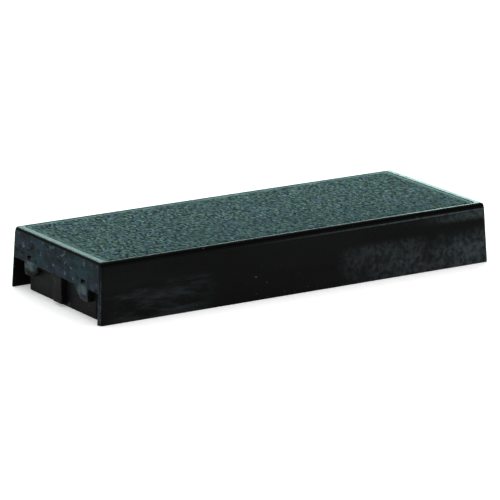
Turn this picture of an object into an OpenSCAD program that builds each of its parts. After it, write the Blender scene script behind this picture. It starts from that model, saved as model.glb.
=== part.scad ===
// Slide-in ink pad cartridge for a self-inking stamp.
// The origin is the middle of the base, +X runs along the cartridge and +Z points out of the ink face.

/* [Overall size] */
// Length over the two end walls, at the base
case_l = 80; // [70:1:110]
// Width over the two long walls, at the base
case_w = 31.2; // [28:0.2:40]
// Height from the base to the rim
case_h = 10.8; // [10.4:0.2:14]
// Slope of the outside walls from upright, in degrees
draft = 2.85; // [1.6:0.05:3]

/* [Housing] */
// Thickness of the long walls at the rim
side_rim = 1.05; // [0.9:0.05:1.4]
// Thickness of the end walls at the rim
end_rim = 1.5; // [1:0.05:1.8]
// Radius of the upright outside corners
corner_r = 0.7; // [0.5:0.1:2]
// Radius of the rounded outside edge of the rim
edge_r = 0.6; // [0.3:0.05:0.7]
// Width of each notch in an end wall, next to the long wall
notch_w = 3.6; // [3:0.1:4.2]
// Width of each tooth of an end wall where it joins the wall
tooth_root_w = 4.7; // [4:0.1:5.6]
// Width of each tooth at its tip
tooth_tip_w = 2.5; // [1.5:0.1:3.5]
// Length of the teeth
tooth_l = 2.3; // [2:0.1:3.5]

/* [Carrier] */
// Clear width of the rail channel between a long wall and the carrier's foot
channel_w = 2.45; // [2:0.05:3]
// Height of the rail channels and of the notches that lead into them
channel_h = 5.4; // [5:0.1:5.6]
// Width of the pull rib on each end of the carrier
rib_w = 2.9; // [1.5:0.1:4]
// How far the pull rib stands out of the carrier's end
rib_d = 1.1; // [0.5:0.05:1.3]
// Height of the tray wall around the felt
tray_h = 2; // [1:0.1:2.1]

/* [Ink cushion] */
// Thickness of the stamping cloth and its backing foam over the felt
face_t = 1.05; // [0.8:0.05:1.2]
// How far the cloth is drawn down the sides of the felt
skirt_h = 0.4; // [0.2:0.05:0.5]
// How far the middle of the ink face stands above its edges
crown = 0.1; // [0.05:0.05:0.4]
// How far the ink face sinks when a stamp is pressed on it
press_travel = 0.6; // [0.2:0.1:0.6]

/* [Hidden] */

arc_n = 32;
eps = 0.01;
slab_t = 0.02;

// Housing: the band is the slightly narrower strip that runs round under the rim
rim_inset = case_h * tan(draft);
band_h = 0.9;
band_step = 0.05;
band_z = case_h - band_h;
cell_l = case_l - 2 * (rim_inset + end_rim);
cell_w = case_w - 2 * (rim_inset + side_rim);
cell_r = 0.7;
ledge_side = 0.55;
ledge_end = 0.5;
cavity_l = cell_l + 2 * ledge_end;
cavity_w = cell_w + 2 * ledge_side;
plate_t = 1;
ledge_z = channel_h + plate_t;
tooth_out = cavity_w / 2 - notch_w;
tooth_z = channel_h - tooth_l;
lead_h = 1.4;
lead_d = 0.15;

// Snap catches: a nose on the carrier in a slot through the end wall
catch_y = tooth_out - 1.7;
catch_z = ledge_z;
slot_w = 1.2;
slot_h = 0.6;
nose_gap = 0.05;
nose_set = 0.15;

// Carrier: a foot block with open cells under a plate, and a tray for the felt on top
fit = 0.1;
plate_l = cavity_l - 2 * fit;
plate_w = cavity_w - 2 * fit;
plate_r = 0.3;
tray_l = cell_l - 2 * fit;
tray_w = cell_w - 2 * fit;
tray_t = 0.8;
tray_top = ledge_z + tray_h;
foot_w = cavity_w - 2 * channel_w;
foot_r = 1;
foot_l = plate_l;
foot_wall = 1.1;
web_t = 1.2;
web_clear = 0.4;
web_count = 2;
cell_x = (foot_l - 2 * foot_wall - web_count * web_t) / (web_count + 1);
cell_y = (foot_w - 2 * foot_wall - web_t) / 2;
rib_clear = 0.5;
rib_top_gap = 0.1;
pin_mark_r = 1.6;
pin_mark_h = 0.25;

// Ink cushion
side_gap = 0.15;
face_l = cell_l - 2 * side_gap;
face_w = cell_w - 2 * side_gap;
face_lift = 0.1;
face_top = case_h + face_lift;
face_z = face_top - face_t;
skirt_t = 0.5;
felt_gap = 0.05;
felt_l = tray_l - 2 * (tray_t + felt_gap);
felt_w = tray_w - 2 * (tray_t + felt_gap);
crown_r = (pow(face_w / 2, 2) + pow(crown, 2)) / (2 * crown);
crown_steps = 8;
skirt_z = max(face_z - skirt_h, tray_top + press_travel + fit);

// Rectangle with round corners, centred on the origin
module rounded_plate(l, w, r) {
    square([l - 2 * r, w], center = true);
    square([l, w - 2 * r], center = true);
    for (sx = [-1, 1], sy = [-1, 1])
        translate([sx * (l / 2 - r), sy * (w / 2 - r)]) circle(r, $fn = arc_n);
}

// Thin slice of the housing's sloping outside, its top at height z and its edge moved in by extra
module outline_slice(z, extra) {
    inset = z * tan(draft) + extra;
    translate([0, 0, z - slab_t])
        linear_extrude(slab_t)
            rounded_plate(case_l - 2 * inset, case_w - 2 * inset, max(corner_r - extra, 0.1));
}

// The housing's outside as one solid block, with its rounded rim edge
module outer_block() {
    hull() {
        outline_slice(slab_t, 0);
        outline_slice(band_z, 0);
    }
    hull() {
        outline_slice(band_z, band_step);
        for (a = [0 : 15 : 90])
            outline_slice(case_h - edge_r * (1 - sin(a)), band_step + edge_r * (1 - cos(a)));
    }
}

// Shape cut through both end walls: two rail notches, two teeth and the recess between them
module end_openings() {
    half = cavity_w / 2;
    root_in = tooth_out - tooth_root_w;
    tip_in = tooth_out - tooth_tip_w;
    below = -1;
    rotate([90, 0, 90])
        linear_extrude(case_l + 2, center = true)
            polygon([
                [-half, below], [half, below], [half, channel_h],
                [tooth_out, channel_h], [tooth_out, tooth_z], [tip_in, tooth_z], [root_in, channel_h],
                [-root_in, channel_h], [-tip_in, tooth_z], [-tooth_out, tooth_z],
                [-tooth_out, channel_h], [-half, channel_h]
            ]);
}

// Bevel that leads the stamp's frame in over the tips of the teeth, on one end
module tooth_lead_in() {
    top_z = tooth_z + lead_h;
    top_x = case_l / 2 - top_z * tan(draft);
    out_x = case_l / 2 + 1;
    rotate([90, 0, 0])
        linear_extrude(2 * (tooth_out + eps), center = true)
            polygon([
                [top_x, top_z], [out_x, top_z], [out_x, tooth_z - eps], [top_x - lead_d, tooth_z - eps]
            ]);
}

module housing() {
    color("#1c2021")
    difference() {
        outer_block();
        translate([0, 0, ledge_z - eps])
            linear_extrude(case_h) rounded_plate(cell_l, cell_w, cell_r);
        translate([0, 0, -1])
            linear_extrude(ledge_z + 1) square([cavity_l, cavity_w], center = true);
        end_openings();
        for (side = [-1, 1]) {
            scale([side, 1, 1]) tooth_lead_in();
            translate([0, side * catch_y, catch_z])
                cube([case_l + 2, slot_w, slot_h], center = true);
        }
    }
}

// Wedge nose that snaps into a slot of the housing, on one end
module catch_nose() {
    low = catch_z - slot_h / 2 + nose_gap;
    high = catch_z + slot_h / 2 - nose_gap;
    tip = case_l / 2 - high * tan(draft) - nose_set;
    rotate([90, 0, 0])
        linear_extrude(slot_w - 2 * nose_gap, center = true)
            polygon([[tray_l / 2 - eps, low], [tip, low], [tip, low + slot_h / 3], [tray_l / 2 - eps, high]]);
}

// One of the open cells under the carrier, with the two round marks its ejector pins leave
module foot_cell() {
    difference() {
        translate([-cell_x / 2, -cell_y / 2, -1]) cube([cell_x, cell_y, channel_h + 1]);
        for (sx = [-1, 1])
            translate([sx * cell_x / 4, 0, channel_h - pin_mark_h]) cylinder(r = pin_mark_r, h = 1, $fn = arc_n);
    }
}

module carrier() {
    color("#17191a")
    difference() {
        union() {
            linear_extrude(channel_h + eps) rounded_plate(foot_l, foot_w, foot_r);
            translate([0, 0, channel_h]) linear_extrude(plate_t) rounded_plate(plate_l, plate_w, plate_r);
            translate([0, 0, channel_h]) linear_extrude(tray_top - channel_h) rounded_plate(tray_l, tray_w, cell_r);
            for (side = [-1, 1]) {
                translate([side * (foot_l + rib_d) / 2, 0, (channel_h - rib_top_gap + rib_clear) / 2])
                    cube([rib_d + 2 * eps, rib_w, channel_h - rib_top_gap - rib_clear], center = true);
                for (sy = [-1, 1])
                    translate([0, sy * catch_y, 0]) scale([side, 1, 1]) catch_nose();
            }
        }
        translate([0, 0, ledge_z])
            linear_extrude(tray_h + 1) rounded_plate(tray_l - 2 * tray_t, tray_w - 2 * tray_t, cell_r);
        for (ix = [0 : web_count], sy = [-1, 1])
            translate([(ix - web_count / 2) * (cell_x + web_t), sy * (cell_y + web_t) / 2, 0]) foot_cell();
        translate([0, 0, (web_clear - 1) / 2])
            cube([foot_l - 2 * foot_wall, foot_w - 2 * foot_wall, web_clear + 1], center = true);
    }
}

module ink_felt() {
    color("#2c3a3c")
    translate([0, 0, ledge_z])
        linear_extrude(face_z - ledge_z) rounded_plate(felt_l, felt_w, cell_r);
}

// Cross-section of the ink face: flat sides and a low crowned top
module crowned_section() {
    top = [for (i = [-crown_steps : crown_steps])
        let (y = i * face_w / 2 / crown_steps) [y, face_top - crown_r + sqrt(pow(crown_r, 2) - pow(y, 2))]];
    polygon(concat([[-face_w / 2, skirt_z]], top, [[face_w / 2, skirt_z]]));
}

module pad_face() {
    color("#445b5c")
    difference() {
        intersection() {
            translate([0, 0, skirt_z])
                linear_extrude(face_top) rounded_plate(face_l, face_w, cell_r);
            rotate([90, 0, 90]) linear_extrude(case_l, center = true) crowned_section();
        }
        translate([0, 0, skirt_z - 1])
            linear_extrude(face_z - skirt_z + 1)
                rounded_plate(face_l - 2 * skirt_t, face_w - 2 * skirt_t, cell_r);
    }
}

housing();
carrier();
ink_felt();
pad_face();
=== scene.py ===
import math

import bmesh
import bpy
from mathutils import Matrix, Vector, noise


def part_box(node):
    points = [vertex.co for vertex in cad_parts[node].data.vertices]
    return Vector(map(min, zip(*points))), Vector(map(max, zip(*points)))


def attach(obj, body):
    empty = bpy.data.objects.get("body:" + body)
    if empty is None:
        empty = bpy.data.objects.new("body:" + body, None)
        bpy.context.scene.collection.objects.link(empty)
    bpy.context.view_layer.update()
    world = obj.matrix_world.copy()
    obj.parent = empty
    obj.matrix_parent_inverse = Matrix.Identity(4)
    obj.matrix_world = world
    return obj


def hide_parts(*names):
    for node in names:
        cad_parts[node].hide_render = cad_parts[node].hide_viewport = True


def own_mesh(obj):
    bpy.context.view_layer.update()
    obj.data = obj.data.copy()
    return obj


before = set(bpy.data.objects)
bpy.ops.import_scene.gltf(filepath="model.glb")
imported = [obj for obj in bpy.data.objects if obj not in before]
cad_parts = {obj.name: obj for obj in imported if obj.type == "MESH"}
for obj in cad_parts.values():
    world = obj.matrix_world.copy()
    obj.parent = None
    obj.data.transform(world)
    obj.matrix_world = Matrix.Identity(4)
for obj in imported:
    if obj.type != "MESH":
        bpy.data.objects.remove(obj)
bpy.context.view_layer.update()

MM = 0.001

# The camera's direction in degrees, its distance, its lens in millimetres and the point it looks at
CAMERA_AZIMUTH = -32.19
CAMERA_ELEVATION = 14.75
CAMERA_DISTANCE = 705.2 * MM
CAMERA_LENS = 288
CAMERA_AIM = Vector((0.23, 1.1, 4.01)) * MM

# Studio light: a white cap overhead in a dim room, and a table that glows a little.
# Each stop is the sine of the elevation and the grey there.
ROOM = [(0.0, 0.5), (0.06, 0.16), (0.78, 0.16), (0.93, 1.0)]
ROOM_STRENGTH = 2.3
TABLE_GLOW = 0.32

# Distance of the softboxes and half the table's width, in metres
LIGHT_DISTANCE = 0.6
GROUND_SIZE = 3

# Colours of what lies on the black plastic, and of the reflection and highlights painted on it
END_FILM = (0.014, 0.034, 0.04)
END_FILM_VIOLET = (0.019, 0.028, 0.042)
SIDE_HAZE_AND_REFLECTION = (0.035, 0.045, 0.048)
DUST_AND_HIGHLIGHT_COLOUR = (0.1, 0.135, 0.14)

# Softened edges of the two mouldings: the round and the room a face needs for it, the angles past
# which an edge counts as sharp and up to which faces count as one flat, and the weld distance
EDGE_R = 0.12 * MM
EDGE_ROOM = 2.2 * EDGE_R
EDGE_STEPS = 2
SHARP_ANGLE = math.radians(28)
FLAT_ANGLE = math.radians(1.5)
WELD = 0.03 * MM
EDGE_MARK = "rounded_edge"

# Limits by which the plastic's material tells the housing's parts apart: distances from the middle
# plane and heights over the ground
LONG_WALL_Y = 14.65 * MM
RIM_INNER_Y = 14.1 * MM
STEP_Z = 9.9 * MM
RIM_ROUND_Z = 10.3 * MM

# Stamping face: its grid, edges, crown and grain, how far its sides stand out past the CAD's, and the
# thicknesses of the cloth with its foam and of the hem that goes down beside the felt
FACE_STEP = 0.17 * MM
FACE_ROLL_R = 0.25 * MM
FACE_ROLL_STEPS = 5
FACE_CORNER_R = 0.5 * MM
FACE_CORNER_STEPS = 4
FACE_CROWN = 0.1 * MM
FACE_GRAIN = 0.07 * MM
FACE_GRAIN_SIZE = 0.5 * MM
FACE_GRAIN_END = 37.3 * MM
FACE_PROUD = 0.08 * MM
CLOTH_T = 1.05 * MM
HEM_T = 0.45 * MM

# Felt: its rounding and voxels, and the depth and width of its roughness
FELT_ROUND = 0.4 * MM
FELT_VOXEL = 0.5 * MM
FELT_ROUGH = 0.05 * MM
FELT_FIBRE = 0.8 * MM

# Offset into the noise that shapes the cloth and the felt
SEED = Vector((3.7, 11.3, 5.9))


def new_object(name, data):
    """Adds an object with that mesh, light or camera to the scene."""
    obj = bpy.data.objects.new(name, data)
    bpy.context.scene.collection.objects.link(obj)
    return obj


def object_from(bm, name):
    """Turns a bmesh into a new object and frees it."""
    mesh = bpy.data.meshes.new(name)
    bm.to_mesh(mesh)
    bm.free()
    return new_object(name, mesh)


def dress(obj, material):
    """Gives obj that one material."""
    obj.data.materials.clear()
    obj.data.materials.append(material)


def fill_ramp(node, stops):
    """Sets the stops of a colour ramp node, each a place and a colour."""
    ramp = node.color_ramp
    while len(ramp.elements) < len(stops):
        ramp.elements.new(0.5)
    for element, (place, colour) in zip(ramp.elements, stops):
        element.position = place
        element.color = (*colour, 1)


def apply_modifiers(obj):
    """Bakes obj's modifiers into its mesh."""
    graph = bpy.context.evaluated_depsgraph_get()
    done = bpy.data.meshes.new_from_object(obj.evaluated_get(graph))
    obj.modifiers.clear()
    obj.data = done


# ---------------------------------------------------------------- materials

class Nodes:
    """A small helper that adds shader nodes and links to one material."""

    def __init__(self, name):
        self.material = bpy.data.materials.new(name)
        self.material.use_nodes = True
        self.tree = self.material.node_tree
        self.shader = self.tree.nodes["Principled BSDF"]
        self.coords = self.add("ShaderNodeTexCoord").outputs["Object"]

    def add(self, kind, **settings):
        node = self.tree.nodes.new(kind)
        for key, value in settings.items():
            setattr(node, key, value)
        return node

    def link(self, source, target):
        self.tree.links.new(source, target)

    def noise(self, size, detail=2.0, rough=0.5, stretch=(1, 1, 1), shift=(0, 0, 0)):
        """Soft noise between 0 and 1 with blobs about size metres across."""
        place = self.add("ShaderNodeMapping")
        place.inputs["Scale"].default_value = stretch
        place.inputs["Location"].default_value = shift
        self.link(self.coords, place.inputs["Vector"])
        tex = self.add("ShaderNodeTexNoise")
        tex.inputs["Scale"].default_value = 1 / size
        tex.inputs["Detail"].default_value = detail
        tex.inputs["Roughness"].default_value = rough
        self.link(place.outputs["Vector"], tex.inputs["Vector"])
        return tex.outputs["Fac"]

    def place(self, axis):
        """The point's place along an axis of the object, in metres."""
        split = self.add("ShaderNodeSeparateXYZ")
        self.link(self.coords, split.inputs["Vector"])
        return split.outputs[axis]

    def away(self, axis):
        """The point's distance from the middle along an axis of the object, in metres."""
        return self.math("ABSOLUTE", self.place(axis), 0.0)

    def facing_x(self):
        """How squarely the surface faces either end of the object, from 0 to 1."""
        split = self.add("ShaderNodeSeparateXYZ")
        self.link(self.add("ShaderNodeTexCoord").outputs["Normal"], split.inputs["Vector"])
        return self.math("ABSOLUTE", split.outputs["X"], 0.0)

    def remap(self, value, low, high, to_low=0.0, to_high=1.0):
        """Value taken smoothly from the range low to high on to the range to_low to to_high."""
        node = self.add("ShaderNodeMapRange", interpolation_type="SMOOTHSTEP")
        node.inputs["From Min"].default_value = low
        node.inputs["From Max"].default_value = high
        node.inputs["To Min"].default_value = to_low
        node.inputs["To Max"].default_value = to_high
        self.link(value, node.inputs["Value"])
        return node.outputs["Result"]

    def math(self, operation, a, b):
        """One operation on two numbers or sockets."""
        node = self.add("ShaderNodeMath", operation=operation)
        for socket, value in zip(node.inputs, (a, b)):
            if isinstance(value, (int, float)):
                socket.default_value = value
            else:
                self.link(value, socket)
        return node.outputs["Value"]

    def product(self, first, *others):
        for other in others:
            first = self.math("MULTIPLY", first, other)
        return first

    def greatest(self, first, *others):
        for other in others:
            first = self.math("MAXIMUM", first, other)
        return first

    def band(self, axis, low, high):
        """1 where the point's distance from the middle along axis is between low and high, softly."""
        away = self.away(axis)
        soft = 0.2 * (high - low)
        return self.product(self.remap(away, low, low + soft), self.remap(away, high, high - soft))

    def mix(self, factor, a, b):
        """Colour a where factor is 0 and colour b where it is 1."""
        node = self.add("ShaderNodeMix", data_type="RGBA")
        # A mix node's colours are its inputs 6 and 7 and its output 2, which share their names with others
        sockets = (node.inputs["Factor"], node.inputs[6], node.inputs[7])
        for socket, value in zip(sockets, (factor, a, b)):
            if isinstance(value, (int, float)):
                socket.default_value = value
            elif isinstance(value, tuple):
                socket.default_value = (*value, 1)
            else:
                self.link(value, socket)
        return node.outputs[2]

    def ramp(self, value, stops):
        """The colour at value on a ramp between the stops."""
        node = self.add("ShaderNodeValToRGB")
        fill_ramp(node, stops)
        self.link(value, node.inputs["Fac"])
        return node.outputs["Color"]

    def bump(self, height, depth, under=None):
        """Bump of height (0 to 1) times depth metres, on top of the normal called under."""
        node = self.add("ShaderNodeBump")
        node.inputs["Distance"].default_value = depth
        node.inputs["Strength"].default_value = 1
        self.link(height, node.inputs["Height"])
        if under is not None:
            self.link(under, node.inputs["Normal"])
        return node.outputs["Normal"]

    def on_edges(self):
        """1 on the rounded edges, which round_edges marks, and 0 elsewhere."""
        return self.add("ShaderNodeAttribute", attribute_name=EDGE_MARK).outputs["Fac"]

    def spots(self, size, limit, shift, stretch=(1, 1, 1)):
        """1 in small ragged spots, found where fine noise passes the limit, and 0 elsewhere."""
        ragged = self.noise(size, detail=2, rough=0.6, stretch=stretch, shift=shift)
        return self.remap(ragged, limit, limit + 0.05)


def moulded_plastic(name, colour, rough, specular, film, dust_and_highlight_share):
    """Black injection-moulded plastic: flow mottling, a bluish film on the ends, haze from handling and a
    painted reflection on the long sides, dust, rubbed edges, painted highlights, and a painted dark band
    under the rim. The last two arguments are the shares that say how much of them there is."""
    n = Nodes(name)
    shader = n.shader
    mottle = n.noise(0.9 * MM, detail=3, rough=0.65, stretch=(1, 0.6, 1))
    on_end = n.product(n.remap(n.facing_x(), 0.97, 0.99), n.math("SUBTRACT", 1, n.on_edges()))
    outside = n.remap(n.away("Y"), LONG_WALL_Y, LONG_WALL_Y + 0.15 * MM)
    on_side = n.product(outside, n.remap(n.facing_x(), 0.9, 0.5))
    # Dust and rubbed edges, together with painted highlights on the teeth, the upright corners and the
    # step under the rim
    dust_and_highlights = dust_and_painted_highlights(n, mottle, on_end, on_side, film)
    pits = n.spots(1.0 * MM, 0.61, shift=(0.8, 0.2, 0.6), stretch=(1, 0.6, 1))
    pits = n.product(pits, on_end, 0.9 * film)

    base = filmed_colour_with_painted_light(n, mottle, on_end, on_side, colour, film)
    # The dust colour also paints those highlights
    base = n.mix(n.product(dust_and_highlights, dust_and_highlight_share), base, DUST_AND_HIGHLIGHT_COLOUR)
    n.link(n.mix(pits, base, (0.001, 0.001, 0.001)), shader.inputs["Base Color"])

    gloss = n.remap(mottle, 0.3, 0.75, rough * 0.85, rough * 1.25)
    on_rim = n.product(n.remap(n.away("Y"), RIM_INNER_Y, RIM_INNER_Y + 0.2 * MM),
                       n.remap(n.place("Z"), RIM_ROUND_Z, RIM_ROUND_Z + 0.3 * MM))
    rubbed = n.product(on_rim, n.remap(n.place("X"), 34 * MM, 10 * MM, 0, 0.2))
    rubbed = n.greatest(rubbed, n.product(dust_and_highlights, 0.3), n.product(on_end, 0.3 * film))
    n.link(n.math("ADD", gloss, rubbed), shader.inputs["Roughness"])
    shader.inputs["Specular IOR Level"].default_value = specular

    peel = n.bump(n.noise(0.6 * MM, detail=2), 0.003 * MM)
    wavy = n.bump(n.noise(6 * MM, detail=1), 0.02 * MM, under=peel)
    n.link(n.bump(n.math("SUBTRACT", dust_and_highlights, pits), 0.01 * MM, under=wavy), shader.inputs["Normal"])
    return n.material


def filmed_colour_with_painted_light(n, mottle, on_end, on_side, colour, film):
    """The plastic's colour with the film on its ends, the haze and a painted reflection on its long sides,
    and a painted dark reflection in the band above the small step under the rim."""
    flow = n.noise(7 * MM, detail=4, stretch=(0.3, 1, 1.3))
    base = n.mix(n.remap(flow, 0.4, 0.7), colour, tuple(c * 1.6 for c in colour))
    base = n.mix(n.product(on_end, end_film(n, mottle), film), base, film_tint(n))
    # Haze on the long sides, with a painted reflection low towards one end
    base = n.mix(n.product(on_side, side_haze_and_reflection(n, mottle), film), base, SIDE_HAZE_AND_REFLECTION)
    # Painted dark reflection in the band from the step under the rim upwards
    painted_dark_band = n.remap(n.place("Z"), STEP_Z, STEP_Z + 0.1 * MM, 0, 0.7 * film)
    return n.mix(n.product(on_side, painted_dark_band), base, (0, 0, 0))


def dust_and_painted_highlights(n, mottle, on_end, on_side, film):
    """Strength of the dust and rubbed edges, and of the painted highlights on the teeth, the step under
    the rim and the upright corners.
    """
    dust = n.spots(0.6 * MM, 0.735, shift=(0.3, 0.5, 0.1))
    end_dust = n.spots(0.9 * MM, 0.62, shift=(0.1, 0.7, 0.5), stretch=(1, 0.6, 1))
    return n.greatest(
        dust,
        n.product(end_dust, on_end, 0.5),
        # Painted highlights on the teeth, the step under the rim and the upright corners
        n.product(on_end, painted_tooth_highlight(n, mottle), film),
        n.product(on_side, painted_step_highlight(n, mottle)),
        painted_corner_highlight(n, mottle),
        n.product(n.on_edges(), n.remap(mottle, 0.4, 0.7, 0.0, 0.2)),
    )


def end_film(n, mottle):
    """Strength of the film on the end walls."""
    blotch = n.noise(2.6 * MM, detail=4, rough=0.6, shift=(0.4, 0.1, 0.8), stretch=(1, 0.6, 1))
    return n.product(n.remap(mottle, 0.32, 0.68, 0.45, 1.35), n.remap(blotch, 0.36, 0.62, 1.35, 0.5))


def film_tint(n):
    """Colour of the film, which varies from bluish green to violet."""
    patches = n.noise(2.5 * MM, detail=2, shift=(0.6, 0.3, 0.2))
    return n.mix(n.remap(patches, 0.44, 0.6), END_FILM, END_FILM_VIOLET)


def side_haze_and_reflection(n, mottle):
    """Strength of the haze and painted reflection on the long sides: a mottled painted reflection low
    towards one end, a smear high beside it and faint wisps low at the other end."""
    along, up = n.place("X"), n.place("Z")
    cloud = n.noise(6 * MM, detail=4, shift=(0.2, 0.6, 0))
    grain = n.remap(mottle, 0.35, 0.65, 0.2, 1.0)
    # Painted reflection: this term and the next lighten the low part of the side towards one end
    patch = n.product(n.remap(along, 7 * MM, 12 * MM, 0, 0.55), n.remap(up, 7.2 * MM, 5.6 * MM),
                      n.remap(cloud, 0.34, 0.56), grain)
    corner = n.product(n.remap(along, 16 * MM, 37 * MM), n.remap(up, 6.5 * MM, 3 * MM, 0, 0.7), grain)
    smear = n.product(n.remap(along, 24 * MM, 38 * MM), n.remap(up, 7.8 * MM, 9 * MM, 0, 1.3),
                      n.remap(up, 9.75 * MM, 9.4 * MM), grain)
    streaks = n.noise(3.5 * MM, detail=5, rough=0.7, stretch=(0.35, 1, 1.6), shift=(0.7, 0.3, 0.1))
    wisps = n.product(n.remap(along, -15 * MM, -22 * MM), n.remap(along, -40 * MM, -34 * MM),
                      n.remap(up, 7 * MM, 5.5 * MM), n.remap(streaks, 0.44, 0.7, 0, 0.45))
    return n.greatest(n.math("ADD", patch, corner), smear, wisps)


def painted_tooth_highlight(n, mottle):
    """Strength of the painted highlight above the teeth, which stands in for the light a sloping facet
    there catches.
    """
    return n.product(n.band("Y", 7.4 * MM, 10.9 * MM), n.band("Z", 4.1 * MM, 5.9 * MM),
                     n.remap(mottle, 0.35, 0.6, 0.3, 1.0), 0.6)


def painted_corner_highlight(n, mottle):
    """Strength of the painted highlight down the four rounded upright corners."""
    across = n.remap(n.away("Y"), 14.8 * MM, 15.0 * MM)
    along = n.remap(n.away("X"), 38.9 * MM, 39.2 * MM)
    turned = n.product(n.remap(n.facing_x(), 0.99, 0.95), n.remap(n.facing_x(), 0.6, 0.75))
    return n.product(across, along, turned, n.remap(mottle, 0.35, 0.65, 0.0, 0.35))


def painted_step_highlight(n, mottle):
    """Strength of the painted highlight line along the small step under the rim, brighter towards one end.
    """
    up = n.place("Z")
    below = n.remap(up, STEP_Z - 0.26 * MM, STEP_Z - 0.16 * MM)
    line = n.product(below, n.remap(up, STEP_Z + 0.08 * MM, STEP_Z))
    along = n.remap(n.place("X"), -20 * MM, 36 * MM, 0.0, 0.4)
    return n.product(line, along, n.remap(mottle, 0.3, 0.6, 0.5, 1.2))


def stamping_cloth(name):
    """Grained cloth wet with black ink: painted glints on the fibre tips, painted shade in the pores and
    faint tints.
    """
    n = Nodes(name)
    shader = n.shader
    fine = n.noise(0.6 * MM, detail=2, shift=(0.5, 0.5, 0.5))
    tone = n.ramp(fine, [
        (0.36, (0.008, 0.019, 0.022)),
        (0.48, (0.033, 0.066, 0.069)),
        (0.6, (0.072, 0.142, 0.134)),
    ])
    tint = n.ramp(n.noise(1.6 * MM, detail=2, shift=(0.1, 0.8, 0.3)), [
        (0.34, (0.028, 0.045, 0.13)),
        (0.46, (0.028, 0.062, 0.072)),
        (0.56, (0.034, 0.072, 0.052)),
        (0.66, (0.08, 0.1, 0.018)),
    ])
    colour = n.mix(0.4, tone, tint)
    # Painted glints on the fibre tips
    painted_glints = n.remap(n.noise(0.5 * MM, detail=1, stretch=(1.2, 0.7, 1), shift=(0.2, 0.9, 0.7)), 0.54, 0.66)
    # Painted shade in the pores
    painted_pore_shade = n.remap(n.noise(0.62 * MM, detail=1, stretch=(1.2, 0.6, 1), shift=(0.8, 0.4, 0.1)), 0.51, 0.56)
    colour = n.mix(n.product(painted_glints, 0.65), colour, (0.18, 0.29, 0.27))
    colour = n.mix(painted_pore_shade, colour, (0.003, 0.008, 0.012))
    n.link(ink_pools_and_painted_highlights(n, colour, fine), shader.inputs["Base Color"])
    n.link(n.remap(fine, 0.35, 0.7, 0.65, 0.9), shader.inputs["Roughness"])
    shader.inputs["Specular IOR Level"].default_value = 0.02
    n.link(n.bump(fine, 0.08 * MM), shader.inputs["Normal"])
    return n.material


def ink_pools_and_painted_highlights(n, colour, fine):
    """Colour made darker in ink pools, over the near half and along the near long edge, with a painted
    highlight along the far long edge and at the two ends."""
    pool = n.noise(4 * MM, detail=2, shift=(0.9, 0.2, 0.4))
    along, across = n.place("X"), n.place("Y")
    near_half = n.product(n.remap(across, -2 * MM, -8 * MM), n.remap(along, -30 * MM, -14 * MM, 0, 0.28))
    # Darker along the near long edge
    darker_near_edge = n.product(n.remap(across, -13.3 * MM, -13.8 * MM), n.remap(pool, 0.35, 0.6, 0.3, 0.85))
    # Painted highlight along the far long edge
    painted_far_highlight = n.product(n.remap(across, 12.9 * MM, 13.7 * MM), n.remap(pool, 0.35, 0.6, 0.9, 0.5))
    # Painted highlight at the two ends, stronger at one end
    ends = n.greatest(n.remap(along, 36.7 * MM, 37.5 * MM, 0, 0.95),
                      n.remap(along, -36.9 * MM, -37.6 * MM, 0, 0.35))
    colour = n.mix(n.remap(pool, 0.35, 0.7, 0.0, 0.3), colour, (0.026, 0.048, 0.053))
    colour = n.mix(near_half, colour, (0.012, 0.028, 0.032))
    colour = n.mix(darker_near_edge, colour, (0.01, 0.02, 0.022))
    colour = n.mix(painted_far_highlight, colour, (0.22, 0.36, 0.34))
    return n.mix(n.product(ends, n.remap(fine, 0.4, 0.6, 0.6, 1)), colour, (0.15, 0.26, 0.25))


def inked_felt(name):
    """Pressed felt soaked with ink: tangled fibres and wet dark patches."""
    n = Nodes(name)
    shader = n.shader
    fibres = n.noise(0.25 * MM, detail=4, rough=0.7, stretch=(1, 1, 3))
    wet = n.noise(4 * MM, detail=2)
    tone = n.ramp(fibres, [(0.35, (0.006, 0.009, 0.011)), (0.7, (0.05, 0.065, 0.07))])
    colour = n.mix(n.remap(wet, 0.4, 0.65, 0.0, 0.6), tone, (0.008, 0.011, 0.014))
    n.link(colour, shader.inputs["Base Color"])
    n.link(n.remap(wet, 0.4, 0.65, 0.85, 0.45), shader.inputs["Roughness"])
    n.link(n.bump(fibres, 0.1 * MM), shader.inputs["Normal"])
    return n.material


def pale_ground(name):
    """Matt pale card with very faint soft patches."""
    n = Nodes(name)
    n.link(n.mix(n.noise(60 * MM), (0.93, 0.93, 0.93), (0.95, 0.95, 0.95)), n.shader.inputs["Base Color"])
    n.shader.inputs["Roughness"].default_value = 0.9
    n.shader.inputs["Specular IOR Level"].default_value = 0.1
    n.shader.inputs["Emission Color"].default_value = (1, 1, 1, 1)
    n.shader.inputs["Emission Strength"].default_value = TABLE_GLOW
    return n.material


# ---------------------------------------------------------------- pieces

def room_beside(edge):
    """Least width of the two faces beside an edge, measured across from it at three places to the
    face's other edges that run roughly alongside."""
    least = math.inf
    for loop in edge.link_loops:
        start, end = loop.vert.co, loop.link_loop_next.vert.co
        along = (end - start).normalized()
        inward = loop.face.normal.cross(along)
        for share in (0.1, 0.5, 0.9):
            point = start.lerp(end, share)
            for other in loop.face.edges:
                a, b = (v.co - point for v in other.verts)
                side_a, side_b = a.dot(along), b.dot(along)
                if other is edge or (side_a > 0) == (side_b > 0):
                    continue
                if abs(side_a - side_b) < 0.5 * (a - b).length:
                    continue
                depth_a, depth_b = a.dot(inward), b.dot(inward)
                across = depth_a + (depth_b - depth_a) * side_a / (side_a - side_b)
                if across > 0:
                    least = min(least, across)
    return least


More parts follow.
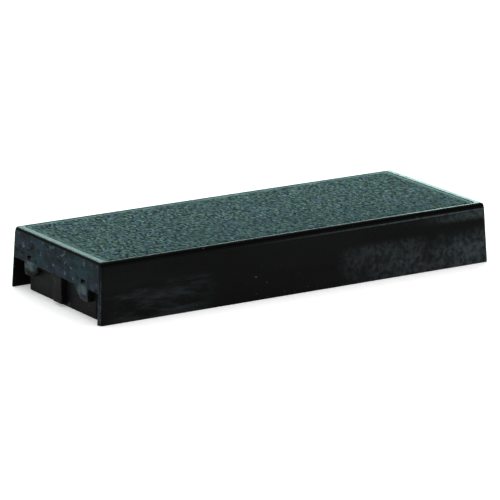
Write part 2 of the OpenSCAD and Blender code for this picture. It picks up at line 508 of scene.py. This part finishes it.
def round_edges(bm):
    """Rounds each outward edge that has room for it, and keeps the other sharp edges sharp."""
    mark = bm.faces.layers.float.new(EDGE_MARK)
    rounded_edges = []
    for edge in bm.edges:
        if not edge.is_manifold or edge.calc_face_angle() < SHARP_ANGLE:
            continue
        if edge.is_convex and room_beside(edge) > EDGE_ROOM:
            rounded_edges.append(edge)
        else:
            edge.smooth = False
    made = bmesh.ops.bevel(bm, geom=rounded_edges, offset=EDGE_R, offset_type="OFFSET",
                           segments=EDGE_STEPS, profile=0.5, affect="EDGES",
                           clamp_overlap=False, miter_outer="ARC")
    for face in made["faces"]:
        face[mark] = 1
    bmesh.ops.remove_doubles(bm, verts=bm.verts, dist=0.01 * MM)


def joined_flats(source):
    """A CAD mesh with its flats joined. A seam along the middle keeps faces with holes in two halves."""
    bm = bmesh.new()
    bm.from_mesh(source)
    for v in bm.verts:
        if v.co.z < WELD:
            v.co.z = 0
    bmesh.ops.remove_doubles(bm, verts=bm.verts, dist=WELD)
    bmesh.ops.dissolve_degenerate(bm, edges=bm.edges, dist=WELD)
    everything = bm.verts[:] + bm.edges[:] + bm.faces[:]
    cut = bmesh.ops.bisect_plane(bm, geom=everything, plane_co=(0, 0, 0), plane_no=(0, 1, 0))["geom_cut"]
    for item in cut:
        if isinstance(item, bmesh.types.BMEdge):
            item.seam = True
    bmesh.ops.dissolve_limit(bm, angle_limit=FLAT_ANGLE, verts=bm.verts, edges=bm.edges, delimit={"SEAM"})
    return bm


def softened_moulding(node, name, material):
    """The CAD node as one clean mesh with a small round on its outward edges."""
    bm = joined_flats(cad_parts[node].data)
    round_edges(bm)
    obj = object_from(bm, name)
    normals = obj.modifiers.new("normals", "WEIGHTED_NORMAL")
    normals.keep_sharp = True
    obj.data.shade_smooth()
    apply_modifiers(obj)
    dress(obj, material)
    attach(obj, "cartridge")
    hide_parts(node)


def rounded(point, half_x, half_y, radius):
    """Moves a point of a rectangle's edge on to the same rectangle with round corners."""
    inner_x, inner_y = half_x - radius, half_y - radius
    near = Vector((max(-inner_x, min(inner_x, point.x)), max(-inner_y, min(inner_y, point.y))))
    return near + (point - near).normalized() * radius


def grain_height(x, y):
    """Height of the cloth's own grain at a point, in metres. It fades out at the two ends."""
    place = Vector((x, y, 0)) / FACE_GRAIN_SIZE + SEED
    fade = max(0.2, min(1, (FACE_GRAIN_END - abs(x)) / MM))
    return fade * FACE_GRAIN * noise.fractal(place, 0.8, 2.0, 2, noise_basis="PERLIN_ORIGINAL")


def top_grid(bm, flat_x, flat_y, height):
    """Adds the part of the cloth inside its rolled edges, as a grid. Returns its border's vertices in
    order round the edge."""
    nx = round(2 * flat_x / FACE_STEP)
    ny = round(2 * flat_y / FACE_STEP)
    grid = {}
    for ix in range(nx + 1):
        for iy in range(ny + 1):
            x, y = flat_x * (2 * ix / nx - 1), flat_y * (2 * iy / ny - 1)
            grid[ix, iy] = bm.verts.new((x, y, height(x, y) + grain_height(x, y)))
    for ix in range(nx):
        for iy in range(ny):
            bm.faces.new([grid[ix, iy], grid[ix + 1, iy], grid[ix + 1, iy + 1], grid[ix, iy + 1]])
    border = [(ix, 0) for ix in range(nx)] + [(nx, iy) for iy in range(ny)]
    border += [(nx - ix, ny) for ix in range(nx)] + [(0, ny - iy) for iy in range(ny)]
    return [grid[key] for key in border]


class Rings:
    """Adds rings of vertices round a flat part's border, each joined to the one before it."""

    def __init__(self, bm, border, flat, half):
        self.bm = bm
        self.last = border
        self.flat_x, self.flat_y = flat
        self.half_x, self.half_y = half
        self.outline = [Vector(v.co.xy) for v in border]

    def add(self, inset, radius, place_z):
        """Adds a ring inset from the outer edge, with round corners, at the heights place_z gives."""
        ax, ay = self.half_x - inset, self.half_y - inset
        made = []
        for p in self.outline:
            q = rounded(Vector((p.x * ax / self.flat_x, p.y * ay / self.flat_y)), ax, ay, radius)
            made.append(self.bm.verts.new((q.x, q.y, place_z(q.x, q.y))))
        for i in range(len(made)):
            j = (i + 1) % len(made)
            self.bm.faces.new([self.last[i], made[i], made[j], self.last[j]])
        self.last = made


def stamping_face(material):
    """The cloth: a fine crowned sheet whose edges roll over and go down round the felt."""
    low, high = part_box("pad_face")
    half_x, half_y = high.x + FACE_PROUD, high.y + FACE_PROUD
    edge_z = high.z - FACE_CROWN
    margin = FACE_CORNER_R + FACE_ROLL_R
    flat_x, flat_y = half_x - margin, half_y - margin

    def height(x, y):
        return edge_z + FACE_CROWN * (1 - (x / half_x) ** 6) * (1 - (y / half_y) ** 2)

    bm = bmesh.new()
    rings = Rings(bm, top_grid(bm, flat_x, flat_y, height), (flat_x, flat_y), (half_x, half_y))
    for step in range(1, FACE_CORNER_STEPS + 1):
        inset = margin - (margin - FACE_ROLL_R) * step / FACE_CORNER_STEPS
        rings.add(inset, 0.3 * FACE_CORNER_R + 0.7 * FACE_CORNER_R * step / FACE_CORNER_STEPS,
                  lambda x, y: height(x, y) + grain_height(x, y))
    for step in range(1, FACE_ROLL_STEPS + 1):
        turn = math.radians(90) * step / FACE_ROLL_STEPS
        inset = FACE_ROLL_R * (1 - math.sin(turn))
        drop = FACE_ROLL_R * (1 - math.cos(turn))
        rings.add(inset, FACE_CORNER_R + FACE_ROLL_R - inset,
                  lambda x, y: height(x, y) - drop + 0.3 * grain_height(x, y))
    rings.add(0, FACE_CORNER_R + FACE_ROLL_R, lambda x, y: low.z)
    rings.add(HEM_T, FACE_CORNER_R, lambda x, y: low.z)
    rings.add(HEM_T, FACE_CORNER_R, lambda x, y: high.z - CLOTH_T)
    bm.faces.new(list(reversed(rings.last)))
    bmesh.ops.recalc_face_normals(bm, faces=bm.faces)
    obj = object_from(bm, "stamping_face")
    obj.data.shade_smooth()
    dress(obj, material)
    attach(obj, "ink_face")
    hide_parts("pad_face")


def felt_block(material):
    """The felt under the cloth: a block with soft edges and a slightly fibrous surface."""
    low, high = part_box("ink_felt")
    bm = bmesh.new()
    bmesh.ops.create_cube(bm, size=1)
    size = high - low
    middle = (high + low) / 2
    for v in bm.verts:
        v.co = Vector((v.co.x * size.x, v.co.y * size.y, v.co.z * size.z)) + middle
    bmesh.ops.bevel(bm, geom=bm.edges[:], offset=FELT_ROUND, segments=3, profile=0.5, affect="EDGES")
    obj = object_from(bm, "felt_block")
    remesh = obj.modifiers.new("remesh", "REMESH")
    remesh.mode = "VOXEL"
    remesh.voxel_size = FELT_VOXEL
    apply_modifiers(obj)
    for v in obj.data.vertices:
        inward = (middle - v.co).normalized()
        v.co += inward * FELT_ROUGH * (1 + noise.noise(v.co / FELT_FIBRE + SEED))
    obj.data.shade_smooth()
    dress(obj, material)
    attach(obj, "cartridge")
    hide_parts("ink_felt")
    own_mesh(obj)


# ---------------------------------------------------------------- stage

def ground():
    """The pale table that the object lies on."""
    bm = bmesh.new()
    bmesh.ops.create_grid(bm, x_segments=1, y_segments=1, size=GROUND_SIZE)
    obj = object_from(bm, "ground")
    dress(obj, pale_ground("ground"))


def aimed(name, data, target, azimuth, elevation, distance):
    """Adds a camera or light that looks at target from that azimuth and elevation."""
    a, e = math.radians(azimuth), math.radians(elevation)
    back = Vector((math.sin(a) * math.cos(e), -math.cos(a) * math.cos(e), math.sin(e)))
    obj = new_object(name, data)
    obj.location = target + back * distance
    obj.rotation_euler = (-back).to_track_quat("-Z", "Y").to_euler()
    return obj


def softbox(name, azimuth, elevation, width, height, power, colour):
    """A rectangular area light aimed at the object."""
    light = bpy.data.lights.new(name, "AREA")
    light.shape = "RECTANGLE"
    light.size = width
    light.size_y = height
    light.energy = power
    light.color = colour
    aimed(name, light, Vector((0, 0, 0)), azimuth, elevation, LIGHT_DISTANCE)


def room():
    """The world: grey that depends on the elevation alone."""
    world = bpy.data.worlds.new("studio")
    world.use_nodes = True
    tree = world.node_tree
    coords = tree.nodes.new("ShaderNodeTexCoord")
    split = tree.nodes.new("ShaderNodeSeparateXYZ")
    ramp = tree.nodes.new("ShaderNodeValToRGB")
    fill_ramp(ramp, [(place, (grey, grey, grey)) for place, grey in ROOM])
    tree.links.new(coords.outputs["Generated"], split.inputs["Vector"])
    tree.links.new(split.outputs["Z"], ramp.inputs["Fac"])
    tree.links.new(ramp.outputs["Color"], tree.nodes["Background"].inputs["Color"])
    tree.nodes["Background"].inputs["Strength"].default_value = ROOM_STRENGTH
    bpy.context.scene.world = world


def lights():
    """Three softboxes behind the object, whose reflections light its rim."""
    softbox("back_right", 138.5, 16, 0.22, 0.16, 1.08, (0.66, 1.0, 0.93))
    softbox("back_left", 156, 16, 0.14, 0.16, 0.29, (0.64, 1.0, 0.96))
    softbox("back_high", 168, 31, 0.3, 0.12, 1.48, (0.64, 1.0, 0.96))


def camera():
    """The camera, which sees the object from where the photo does."""
    data = bpy.data.cameras.new("camera")
    data.lens = CAMERA_LENS
    data.clip_start = 0.05
    data.clip_end = 20
    obj = aimed("camera", data, CAMERA_AIM, CAMERA_AZIMUTH, CAMERA_ELEVATION, CAMERA_DISTANCE)
    bpy.context.scene.camera = obj


camera()
ground()
room()
lights()
housing_plastic = moulded_plastic("housing_plastic", (0.0031, 0.0031, 0.0032), rough=0.28, specular=0.035,
                                  film=1.0, dust_and_highlight_share=1.0)
carrier_plastic = moulded_plastic("carrier_plastic", (0.0052, 0.0044, 0.0041), rough=0.42, specular=0.028,
                                  film=0.08, dust_and_highlight_share=0.5)
softened_moulding("housing", "housing_shell", housing_plastic)
softened_moulding("carrier", "carrier_base", carrier_plastic)
stamping_face(stamping_cloth("stamping_cloth"))
felt_block(inked_felt("inked_felt"))
bpy.context.scene.view_settings.view_transform = "Standard"
